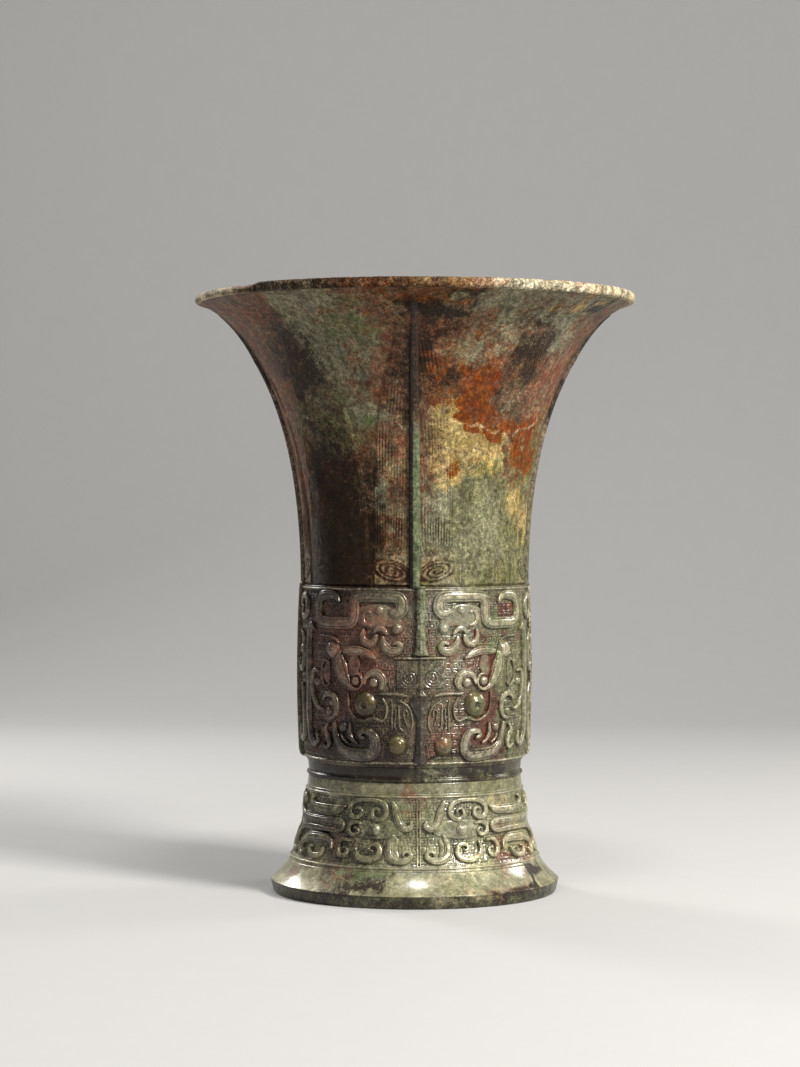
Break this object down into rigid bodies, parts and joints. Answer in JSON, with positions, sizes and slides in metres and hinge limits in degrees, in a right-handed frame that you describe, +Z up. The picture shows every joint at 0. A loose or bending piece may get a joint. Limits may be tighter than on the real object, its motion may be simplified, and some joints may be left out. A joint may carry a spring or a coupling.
{
  "type": "bronze wine vessel",
  "caption": "Trumpet-mouthed bronze zun wine vessel with a raised animal mask on the belly, leaf blades on the neck, coiled dragons and a flared hollow foot.",
  "frame": {"origin": "middle of the foot's underside", "axes": "+Z up the vessel's axis, the front of the mask towards -Y, +X to the right as seen from the front"},
  "size_m": [0.213, 0.213, 0.29],
  "materials": {
    "lip_bronze": "rough, pale crust",
    "neck_bronze": "mottled brown and green patina",
    "leaf_bronze": "mottled brown and green patina",
    "ridge_bronze": "pale green patina",
    "belly_bronze": "olive patina with red in the ground",
    "mask_bronze": "olive and red patina, worn bright on the bosses",
    "dark_bronze": "dark, glossy patina",
    "inner_bronze": "dark, dull patina",
    "spacer_bronze": "worn bronze",
    "foot_bronze": "yellow-green patina, glossy on the flare"
  },
  "bodies": {
    "root": {"mouth_rim": "lip_bronze", "flare_wall": "neck_bronze", "neck_wall": "neck_bronze", "belly_wall": "belly_bronze", "vessel_floor": "inner_bronze", "floor_spacers": "spacer_bronze", "collar_band": "dark_bronze", "foot_wall": "foot_bronze", "foot_rim": "dark_bronze", "neck_ridge_front": "ridge_bronze", "neck_ridge_right": "ridge_bronze", "neck_ridge_back": "ridge_bronze", "neck_ridge_left": "ridge_bronze", "belly_ridge_front": "ridge_bronze", "belly_ridge_right": "ridge_bronze", "belly_ridge_back": "ridge_bronze", "belly_ridge_left": "ridge_bronze", "leaf_front": "leaf_bronze", "leaf_front_right": "leaf_bronze", "leaf_right": "leaf_bronze", "leaf_back_right": "leaf_bronze", "leaf_back": "leaf_bronze", "leaf_back_left": "leaf_bronze", "leaf_left": "leaf_bronze", "leaf_front_left": "leaf_bronze", "front_dragon_right": "belly_bronze", "front_dragon_left": "belly_bronze", "back_dragon_right": "belly_bronze", "back_dragon_left": "belly_bronze", "front_mask_horns": "mask_bronze", "front_mask_ears": "mask_bronze", "front_mask_eyes": "mask_bronze", "front_mask_eyelids": "mask_bronze", "front_mask_nose": "mask_bronze", "front_mask_nostrils": "mask_bronze", "front_mask_jaws": "mask_bronze", "front_mask_cheeks": "mask_bronze", "back_mask_horns": "mask_bronze", "back_mask_ears": "mask_bronze", "back_mask_eyes": "mask_bronze", "back_mask_eyelids": "mask_bronze", "back_mask_nose": "mask_bronze", "back_mask_nostrils": "mask_bronze", "back_mask_jaws": "mask_bronze", "back_mask_cheeks": "mask_bronze", "front_side_dragon_right": "belly_bronze", "front_side_dragon_left": "belly_bronze", "back_side_dragon_right": "belly_bronze", "back_side_dragon_left": "belly_bronze", "foot_dragon_front_right": "foot_bronze", "foot_dragon_front_left": "foot_bronze", "foot_dragon_back_right": "foot_bronze", "foot_dragon_back_left": "foot_bronze", "belly_borders": "belly_bronze", "foot_borders": "foot_bronze"}
  },
  "joints": []
}
